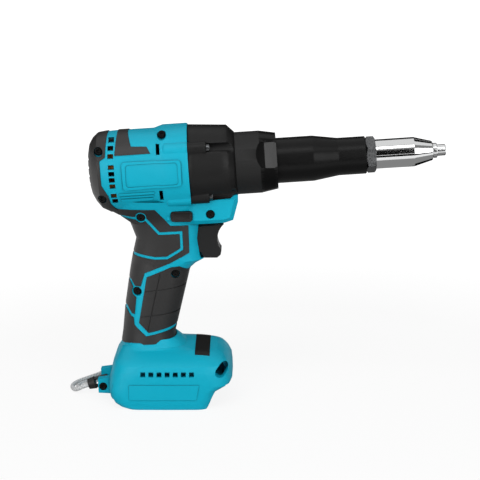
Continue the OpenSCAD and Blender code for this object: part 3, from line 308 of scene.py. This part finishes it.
# Wrist strap: one cord, doubled, from the ferrule round behind the foot and back
strapPlan = {"radius": 1.6, "screw": (-120.58, 10.763), "drop": 16, "start": 12.7, "lead": 3, "side": 1.8,
             "colour": "#E6E7E7", "shade": "#C3C5C6", "pitch": 1.6, "strands": 8,
             "points": [(-139.3, 4.2, 3.4), (-141.5, 9, 2.2), (-141.5, 14.5, 1.8), (-138.5, 19.5, 1.8),
                        (-133, 24, 1.8), (-125, 30, 1.8), (-116, 38, 1.8), (-105, 46, 1.8), (-92, 51, 1.8),
                        (-76, 53, 1.8), (-62, 57, 1.8), (-52, 66, 1.8), (-50, 79, 1.8), (-58, 89, 1.8),
                        (-71, 92, 1.8), (-86, 88, 1.8), (-101, 78, 1.8), (-113, 65, 1.8), (-122, 52, 1.8),
                        (-130, 40, 1.8), (-137, 31, 1.8), (-143, 23, 1.8), (-146, 15.5, 1.8), (-145.6, 8, 2),
                        (-142.4, 1.6, 2.8)]}


def strapRoute(plan):
    drop = math.radians(plan["drop"])

    def fromScrew(along, side):
        return (plan["screw"][0] - along * math.cos(drop), side, plan["screw"][1] - along * math.sin(drop))

    start, lead = plan["start"], plan["start"] + plan["lead"]
    out = [fromScrew(start, plan["side"]), fromScrew(lead, plan["side"])]
    home = [fromScrew(lead, -plan["side"]), fromScrew(start, -plan["side"])]
    return [Vector(p) * mm for p in out + plan["points"] + home]


def makeStrap(plan):
    route = strapRoute(plan)
    curve = bpy.data.curves.new("wristStrapLine", "CURVE")
    curve.dimensions = "3D"
    line = curve.splines.new("BEZIER")
    line.bezier_points.add(len(route) - 1)
    for knot, point in zip(line.bezier_points, route):
        knot.co = point
        knot.handle_left_type = knot.handle_right_type = "AUTO"
    line.resolution_u = 8
    curve.bevel_depth = plan["radius"] * mm
    curve.bevel_resolution = 4
    curve.use_fill_caps = True
    strap = bpy.data.objects.new("wristStrapCord", curve)
    bpy.context.collection.objects.link(strap)
    length = line.calc_length()
    curve.materials.append(braidedCord("braidedNylonGrey", plan["colour"], plan["shade"], plan["pitch"],
                                       length, plan["strands"]))
    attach(strap, "housing")
    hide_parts("wrist_strap")
    print("strap: length in mm", round(length / mm, 1))


makeStrap(strapPlan)


# The pulling axis climbs a little towards the nose
axisPlan = {"height": 175.5 * mm, "climb": 3.75}
axisFrame = (Matrix.Translation((0, 0, axisPlan["height"]))
             @ Matrix.Rotation(-math.radians(axisPlan["climb"]), 4, "Y"))
axisForward = axisFrame.to_3x3().col[0]


# Place in m of a point given in mm along, across and above the axis
def onAxis(along, across=0, up=0):
    return axisFrame @ (Vector((along, across, up)) * mm)


def alongAxis(point):
    return (axisFrame.inverted() @ point).x / mm


def ontoAxis(piece):
    pick(piece)
    piece.matrix_world = axisFrame
    bakePlace()


# Evens out the shading of a faceted moulding: each corner takes the mean normal of the surface about it,
# read at spots a share of the reach apart, from faces that turn away by less than the limit
blendPlan = {"apart": 0.45, "mostSteps": 12, "limit": 24, "ownShare": 1e-12}


def blendNormals(piece, reach):
    mesh = piece.data
    mesh.calc_loop_triangles()
    spots = []
    for part in mesh.loop_triangles:
        a, b, c = (mesh.vertices[i].co for i in part.vertices)
        steps = int(math.sqrt(part.area) / (blendPlan["apart"] * reach))
        steps = max(1, min(blendPlan["mostSteps"], steps))
        for i in range(steps):
            for j in range(steps - i):
                u, v = (i + 1 / 3) / steps, (j + 1 / 3) / steps
                spots.append((a + (b - a) * u + (c - a) * v, part.normal, part.area / steps))
    tree = KDTree(len(spots))
    for index, spot in enumerate(spots):
        tree.insert(spot[0], index)
    tree.balance()
    closest = math.cos(math.radians(blendPlan["limit"]))
    corners = [Vector() for loop in mesh.loops]
    for face in mesh.polygons:
        for loop in face.loop_indices:
            corner = mesh.vertices[mesh.loops[loop].vertex_index].co
            total = face.normal * blendPlan["ownShare"]
            for place, index, away in tree.find_range(corner, reach):
                if spots[index][1].dot(face.normal) > closest:
                    total += spots[index][1] * spots[index][2] * (1 - away / reach)
            corners[loop] = total.normalized()
    mesh.normals_split_custom_set(corners)


weldGap = 0.002 * mm


# Copies a CAD node, joins its loose triangles and softens its edges and shading
def dressNode(node, name, material, body="housing", smoothAngle=30, bevel=0.0, segments=2, flat=0.0,
              weighted=True, cutter=None, blend=0.0):
    piece = bpy.data.objects.new(name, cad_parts[node].data.copy())
    bpy.context.collection.objects.link(piece)
    editAll(piece)
    bpy.ops.mesh.remove_doubles(threshold=weldGap)
    if flat:
        bpy.ops.mesh.dissolve_limited(angle_limit=math.radians(flat))
    leaveEdit()
    if cutter:
        cutAway(piece, cutter)
    if bevel:
        roundEdges(piece, bevel, angle=35, segments=segments)
    finishPiece(piece, body, material, smoothAngle)
    if blend:
        blendNormals(piece, blend * mm)
    elif weighted:
        weightNormals(piece)
    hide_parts(node)
    return piece


# Scoop at the front of the foot, cut on inward until it is dark, and the upper vent, sunk to a floor painted
# black as shade
cutPlan = {"scoop": [(-32.37, 29.85), (-34.44, 27.5)], "radius": 3.62, "scoopFrom": 44.0, "scoopTo": 18.0,
           "vent": (-109.85, 25.1), "ventSize": (4.2, 3.2), "ventFrom": 34.0, "ventTo": 12.5,
           "floorGap": 0.02}


def shellCutter(plan, side):
    deep = plan["scoopFrom"] - plan["scoopTo"]
    middle = side * (plan["scoopFrom"] + plan["scoopTo"]) / 2
    rods = [addRod(plan["radius"], deep, Vector((x, middle, z)) * mm, alongY, sides=40)
            for x, z in plan["scoop"]]
    scoop = joinPieces(rods, "scoopCutter")
    editAll(scoop)
    bpy.ops.mesh.convex_hull()
    leaveEdit()
    along, up = plan["vent"]
    across = side * (plan["ventFrom"] + plan["ventTo"]) / 2
    size = (plan["ventSize"][0], plan["ventFrom"] - plan["ventTo"], plan["ventSize"][1])
    vent = addBlock(size, onAxis(along, across, up), axisFrame.to_euler())
    return joinPieces([vent, scoop], "shellCutter")


for side, turn in (("right", -1), ("left", 1)):
    shell = dressNode("housing_" + side, "housingShell_" + side, mouldedTeal, smoothAngle=36,
                      flat=0.3, cutter=shellCutter(cutPlan, turn), blend=4.5)
    # Black material for the upper vent's floor faces: painted shade
    shell.data.materials.append(mouldedBlack)
    ventFloor = turn * cutPlan["ventTo"] * mm
    for face in shell.data.polygons:
        onShadedVentFloor = abs(face.center.y - ventFloor) < cutPlan["floorGap"] * mm
        if onShadedVentFloor and face.center.z > axisPlan["height"]:
            face.material_index = 1
    for pad in ("rear_bumper_", "top_pad_", "grip_rubber_", "palm_pad_", "finger_pad_"):
        dressNode(pad + side, pad.title().replace("_", "") + "_" + side, mouldedRubber,
                  smoothAngle=26, flat=0.3, blend=3.5)
print("housing: dressed")

dressNode("foot_inlay", "footInlay", mouldedBlack)
dressNode("gear_housing", "gearCase", castBlack, smoothAngle=32)

# Collar: oxide steel ahead of a seam, with a milled flat on each side and its sunk run-out; the flats are
# painted lighter as a reflection and the run-outs near black as shade.
# Faces are told apart by how far they look sideways and ahead, their area in mm2 and their corners
collarPlan = {"seam": -9.6, "runOutAside": 0.5, "runOutAhead": (0.1, 0.7), "runOutArea": 2,
              "flatAside": 0.8, "flatArea": 30, "flatCorners": 40}


def makeCollar(plan):
    collar = dressNode("front_collar", "collarRing", blastedBlack, bevel=0.4, flat=0.5)
    for material in (oxideBlack, flatPaintedReflection, runOutPaintedShade):
        collar.data.materials.append(material)
    least, most = plan["runOutAhead"]
    for face in collar.data.polygons:
        aside, area = abs(face.normal.y), face.area / mm ** 2
        oxide = alongAxis(face.center) > plan["seam"]
        # Run-out faces take the near-black painted shade, flat faces the lighter painted reflection, the rest
        # plain oxide
        if aside > plan["runOutAside"] and least < face.normal.x < most and area > plan["runOutArea"]:
            face.material_index = 3
        elif (oxide and aside > plan["flatAside"] and area > plan["flatArea"]
              and len(face.vertices) < plan["flatCorners"]):
            face.material_index = 2
        elif oxide:
            face.material_index = 1


makeCollar(collarPlan)
dressNode("lock_nut", "hexLockNut", zincGrey, bevel=0.35, flat=0.5)
dressNode("trigger", "triggerLever", mouldedBlack, body="trigger", bevel=0.9, segments=3,
          flat=0.5)

# Selector: both ends have a sunk thumb face within a rim
selectorPlan = {"rim": 1.0, "sunk": 0.5, "slope": 0.5, "endAside": 0.9, "endArea": 20}


def makeSelector(plan):
    selector = dressNode("direction_selector", "selectorBar", mouldedBlack, body="selector",
                         bevel=0.7, segments=3, flat=0.5)
    for face in selector.data.polygons:
        face.select = abs(face.normal.y) > plan["endAside"] and face.area > plan["endArea"] * mm ** 2
    startEdit(selector)
    bpy.ops.mesh.select_mode(type="FACE")
    bpy.ops.mesh.inset(thickness=plan["rim"] * mm, depth=0)
    bpy.ops.mesh.inset(thickness=plan["slope"] * mm, depth=-plan["sunk"] * mm)
    bpy.ops.mesh.select_mode(type="VERT")
    leaveEdit()
    bpy.ops.object.shade_smooth_by_angle(angle=math.radians(30))


makeSelector(selectorPlan)
print("drive and nose: dressed")


# Turned piece: a profile drawn by extruding a vertex, spun round the axis
def turnPiece(name, profile, steps=96):
    deselect()
    bpy.ops.mesh.primitive_plane_add(size=mm, location=(0, 0, 0))
    piece = bpy.context.object
    piece.name = name
    editAll(piece)
    bpy.ops.mesh.merge(type="CENTER")
    bpy.ops.transform.translate(value=(profile[0][0] * mm, 0, profile[0][1] * mm))
    for (u0, r0), (u1, r1) in zip(profile, profile[1:]):
        step = ((u1 - u0) * mm, 0, (r1 - r0) * mm)
        bpy.ops.mesh.extrude_vertices_move(TRANSFORM_OT_translate={"value": step})
    bpy.ops.mesh.select_all(action="SELECT")
    bpy.ops.mesh.spin(steps=steps, angle=2 * math.pi, center=(0, 0, 0), axis=(1, 0, 0))
    bpy.ops.mesh.select_all(action="SELECT")
    bpy.ops.mesh.remove_doubles(threshold=weldGap)
    bpy.ops.mesh.normals_make_consistent(inside=False)
    leaveEdit()
    return piece


# Barrel: plain rear, a taper, a slimmer front with a small chamfer at the nut
barrelPlan = {"profile": [(5.5, 13.0), (5.5, 15.9), (5.9, 16.3), (32.4, 16.3), (50.4, 13.5), (69.8, 13.5),
                          (70.3, 13.0), (70.3, 10.6), (5.5, 10.6), (5.5, 13.0)], "round": 0.7}
# Nose sleeve: straight, then a cone to the nosepiece
sleevePlan = {"profile": [(64.0, 9.2), (64.0, 10.55), (104.9, 10.6), (117.9, 7.0), (118.25, 6.6),
                          (118.25, 4.6), (64.0, 9.2)], "round": 0.35}
# Nosepiece: flange, then a short tip with the mandrel hole
tipPlan = {"profile": [(112.0, 4.4), (118.3, 4.4), (118.3, 5.0), (118.7, 5.4), (121.1, 5.4), (121.5, 5.0),
                       (121.5, 4.1), (127.2, 4.1), (127.65, 3.65), (127.65, 2.1), (127.2, 1.65),
                       (112.0, 1.65), (112.0, 4.4)], "round": 0.12}


def turnDressed(name, plan, material, node):
    piece = turnPiece(name, plan["profile"])
    roundEdges(piece, plan["round"], angle=4)
    ontoAxis(piece)
    finishPiece(piece, "housing", material, smoothAngle=28)
    weightNormals(piece, weight=100)
    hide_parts(node)


turnDressed("barrelTube", barrelPlan, oxideBlack, "barrel")
turnDressed("noseSleeve", sleevePlan, polishedChrome, "nose_cap")
turnDressed("nosepieceTip", tipPlan, polishedChrome, "nosepiece")
print("nose: turned")

# Low bosses on the shell that carry on the gear case's ribs, two on each side, round at the rear
bossPlan = {"radius": 6.0, "front": -56.4, "rear": -73.6, "places": [(22.46, 15.7), (20.05, -18.66)],
            "round": 1.6}


def makeBosses(plan):
    bosses = []
    length = plan["front"] - plan["rear"]
    middle = (plan["front"] + plan["rear"]) / 2
    for across, up in plan["places"] + [(-across, up) for across, up in plan["places"]]:
        boss = addRod(plan["radius"], length, Vector((middle, across, up)) * mm, alongX, sides=72)
        selectPoints(boss, lambda point: point.x < middle * mm)
        startEdit(boss)
        bpy.ops.mesh.bevel(offset=plan["round"] * mm, segments=5, affect="EDGES")
        leaveEdit()
        bosses.append(boss)
    joined = joinPieces(bosses, "shellBosses")
    ontoAxis(joined)
    finishPiece(joined, "housing", mouldedTeal, smoothAngle=40)
    weightNormals(joined)


makeBosses(bossPlan)
print("bosses: set")

# Chamfer bars that close the rear corners of the battery slot, where the rounded shell runs thin
cornerPlan = {"corner": (-112.3, 34.5), "thick": 0.8, "edge": 0.15,
              "bars": [{"cut": 0.8, "low": 12.0, "high": 17.9}, {"cut": 3.4, "low": 6.3, "high": 9.5}]}


def makeCorners(plan):
    bars = []
    for side in (-1, 1):
        for bar in plan["bars"]:
            inward = bar["cut"] / 2 + plan["thick"] / math.sqrt(8)
            place = Vector((plan["corner"][0] + inward, side * (plan["corner"][1] - inward),
                            (bar["low"] + bar["high"]) / 2)) * mm
            size = (bar["cut"] * math.sqrt(2), plan["thick"], bar["high"] - bar["low"])
            bars.append(addBlock(size, place, (0, 0, side * math.pi / 4)))
    joined = joinPieces(bars, "slotCorners")
    roundEdges(joined, plan["edge"], angle=30, segments=2)
    finishPiece(joined, "housing", mouldedTeal)


makeCorners(cornerPlan)
print("slot corners: closed")

# Screws: a flat round head with a hexagon socket, one per screw of the CAD node, which lie a reach apart
screwPlan = {"radius": 2.75, "head": 2.2, "socket": 1.45, "deep": 1.3, "edge": 0.35, "reach": 8}


def nodeIslands(node, reach):
    places = []
    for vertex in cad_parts[node].data.vertices:
        spot = Vector((vertex.co.x, 0, vertex.co.z))
        for middle, points in places:
            if (spot - middle).length < reach * mm:
                points.append(vertex.co.copy())
                break
        else:
            places.append((spot, [vertex.co.copy()]))
    return [points for middle, points in places]


def screwFronts(node, reach):
    fronts = []
    for points in nodeIslands(node, reach):
        xs, ys, zs = zip(*points)
        fronts.append(Vector(((min(xs) + max(xs)) / 2, min(ys), (min(zs) + max(zs)) / 2)))
    return fronts


def socketHead(plan):
    head = addRod(plan["radius"], plan["head"], Vector((0, plan["head"] / 2, 0)) * mm, alongY, sides=48)
    cutAway(head, addRod(plan["socket"], 2 * plan["deep"], Vector(), alongY, sides=6))
    roundEdges(head, plan["edge"], angle=40)
    return head


def placeHeads(pattern, name, node):
    heads = []
    for place in screwFronts(node, screwPlan["reach"]):
        head = pattern.copy()
        head.data = pattern.data.copy()
        bpy.context.collection.objects.link(head)
        head.location = place
        heads.append(head)
    joined = joinPieces(heads, name)
    finishPiece(joined, "housing", oxideScrew, smoothAngle=35)
    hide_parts(node)


headPattern = socketHead(screwPlan)
placeHeads(headPattern, "shellScrews", "housing_screws")
placeHeads(headPattern, "strapLugScrew", "lug_screw")
bpy.data.objects.remove(headPattern)
dressNode("gear_housing_screws", "gearCaseScrews", zincScrew, bevel=0.3, flat=0.5)
print("screws: set")

# Windings: the end turns behind the vents belly out past the core
windingPlan = {"core": -104.3, "flare": 0.4, "middle": -108.5, "reach": 1.15, "round": 1.2}


def makeWindings(plan):
    windings = dressNode("stator_windings", "statorWindings", woundCopper, flat=0.5, weighted=False)
    for along in (plan["core"], plan["core"] - plan["flare"]):
        editAll(windings)
        bpy.ops.mesh.bisect(plane_co=onAxis(along), plane_no=axisForward)
        leaveEdit()
    edge = plan["core"] - plan["flare"] / 2
    selectPoints(windings, lambda point: alongAxis(point) < edge)
    startEdit(windings)
    bpy.ops.transform.resize(value=(1, plan["reach"], plan["reach"]), center_override=onAxis(plan["middle"]))
    leaveEdit()
    roundEdges(windings, plan["round"], angle=50)


makeWindings(windingPlan)
print("windings: shaped")

# CAD nodes that keep their own mesh, by finish
innerFinish = [
    (machinedSteel, ["motor_bracket", "guide_key", "motor_shaft", "rear_bearing", "front_bearing", "sun_gear",
                     "planet_gear_1", "planet_gear_2", "planet_gear_3", "ring_gear", "planet_carrier",
                     "main_bearing", "thrust_bearing", "lead_screw", "drive_nut", "pull_tube", "jaw_case",
                     "jaw_1", "jaw_2", "jaw_3", "jaw_pusher", "jaw_spring", "trigger_spring"]),
    (stackedSheet, ["stator_core", "rotor_core"]),
    (mouldedBlack, ["cooling_fan", "trigger_switch", "terminal_block"]),
    (greenBoard, ["control_board"]),
    (pressedBrass, ["battery_terminals"]),
    (mouldedRubber, ["strap_loop", "strap_ferrule"]),
]


def paintNode(node, material):
    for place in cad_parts[node].material_slots:
        place.link = "OBJECT"
        place.material = material


for material, nodes in innerFinish:
    for node in nodes:
        paintNode(node, material)
print("inner pieces: painted")

# White floor that keeps a soft shadow, soft studio light and cards, mostly dark, that only mirrors see
studioPlan = {"floorSize": 30.0, "floor": "#BDBDBD", "dull": 0.9, "share": 0.75, "glow": 1.17, "near": 0.25,
              "far": 0.9, "world": 0.24, "card": "#0A0A0A",
              "lamps": {"strip": {"place": (0.62, -1.10, 0.50), "size": (0.75, 0.9), "power": 6.6},
                        "front": {"place": (-0.75, -1.15, 0.45), "size": (0.7, 0.9), "power": 6.2},
                        "rear": {"place": (-0.25, 1.30, 0.80), "size": (0.9, 0.7), "power": 2.6,
                                 "mirrored": False},
                        "over": {"place": (-0.15, -0.75, 1.35), "size": (1.2, 0.5), "power": 5.6}},
              "cards": {"overNose": {"place": (0.72, 0.64, 1.28), "size": (0.7, 0.7)},
                        "underTip": {"place": (0.37, 0.22, 0.0035), "size": (0.46, 0.36)},
                        "behindCamera": {"place": (0, -2.4, 0.95), "size": (3.4, 1.7), "lean": 90},
                        "onShadedVentFloor": {"place": (0, -1.45, 0.004), "size": (3.4, 1.9)},
                        "overLine": {"place": (0, -0.84, 1.13), "size": (3.4, 0.05), "lean": 45},
                        "underNose": {"place": (0.12, 0.1, 0.003), "size": (0.7, 0.6), "glow": 0.28},
                        "overWhite": {"place": (0, 0.45, 1.7), "size": (3.4, 2.0), "glow": 0.85},
                        "behindTool": {"place": (0, 2.2, 1.0), "size": (5.0, 2.0), "lean": 90}}}


def makeFloor(plan):
    deselect()
    bpy.ops.mesh.primitive_plane_add(size=plan["floorSize"], location=(0, 0, 0))
    floor = bpy.context.object
    floor.name = "studioFloor"
    paper = bpy.data.materials.new("whitePaperFloor")
    paper.use_nodes = True
    links = paper.node_tree.links
    shader = paper.node_tree.nodes["Principled BSDF"]
    shader.inputs["Base Color"].default_value = hexColour(plan["floor"])
    shader.inputs["Roughness"].default_value = plan["dull"]
    seen = addNode(paper, "ShaderNodeLightPath")
    bright = addNode(paper, "ShaderNodeEmission", {"Color": (1, 1, 1, 1), "Strength": plan["glow"]})
    anyRay = addNode(paper, "ShaderNodeMath", {"operation": "MAXIMUM"})
    links.new(seen.outputs["Is Camera Ray"], anyRay.inputs[0])
    links.new(seen.outputs["Is Glossy Ray"], anyRay.inputs[1])
    place = addNode(paper, "ShaderNodeTexCoord")
    away = addNode(paper, "ShaderNodeVectorMath", {"operation": "LENGTH"}, {"Vector": (place, "Object")})
    spread = addSpread(paper, (away, "Value"), (plan["near"], plan["far"]), plan["share"], 1.0)
    share = addNode(paper, "ShaderNodeMath", {"operation": "MULTIPLY"})
    links.new(anyRay.outputs["Value"], share.inputs[0])
    links.new(spread.outputs["Result"], share.inputs[1])
    blend = addNode(paper, "ShaderNodeMixShader")
    links.new(share.outputs["Value"], blend.inputs[0])
    links.new(shader.outputs["BSDF"], blend.inputs[1])
    links.new(bright.outputs["Emission"], blend.inputs[2])
    links.new(blend.outputs["Shader"], paper.node_tree.nodes["Material Output"].inputs["Surface"])
    floor.data.materials.append(paper)


def makeCards(plan):
    for name, card in plan["cards"].items():
        deselect()
        bpy.ops.mesh.primitive_plane_add(size=1, location=card["place"],
                                         rotation=(math.radians(card.get("lean", 0)), 0, 0))
        sheet = bpy.context.object
        sheet.name = name
        sheet.scale = (*card["size"], 1)
        paper = grainedSurface(name + "Paper", plan["card"], 0.95, grain=2.0, depth=0.1, ior=1.1)
        shader = paper.node_tree.nodes["Principled BSDF"]
        shader.inputs["Emission Color"].default_value = (1, 1, 1, 1)
        shader.inputs["Emission Strength"].default_value = card.get("glow", 0)
        sheet.data.materials.append(paper)
        sheet.visible_camera = sheet.visible_diffuse = False
        sheet.visible_shadow = sheet.visible_transmission = False


def makeLamps(plan):
    aim = Vector(cameraPlan["target"])
    for name, lamp in plan["lamps"].items():
        place = Vector(lamp["place"])
        bpy.ops.object.light_add(type="AREA", location=place)
        light = bpy.context.object
        light.name = name + "Softbox"
        light.data.shape = "RECTANGLE"
        light.data.size, light.data.size_y = lamp["size"]
        light.data.energy = lamp["power"]
        light.rotation_euler = (aim - place).to_track_quat("-Z", "Y").to_euler()
        light.visible_glossy = lamp.get("mirrored", True)


def makeRoom(plan):
    world = bpy.data.worlds.new("studioRoom")
    world.use_nodes = True
    sky = world.node_tree.nodes["Background"]
    sky.inputs["Color"].default_value = (1, 1, 1, 1)
    sky.inputs["Strength"].default_value = plan["world"]
    bpy.context.scene.world = world
    bpy.context.scene.view_settings.view_transform = "Standard"


makeFloor(studioPlan)
makeCards(studioPlan)
makeLamps(studioPlan)
makeRoom(studioPlan)
print("studio: lit")
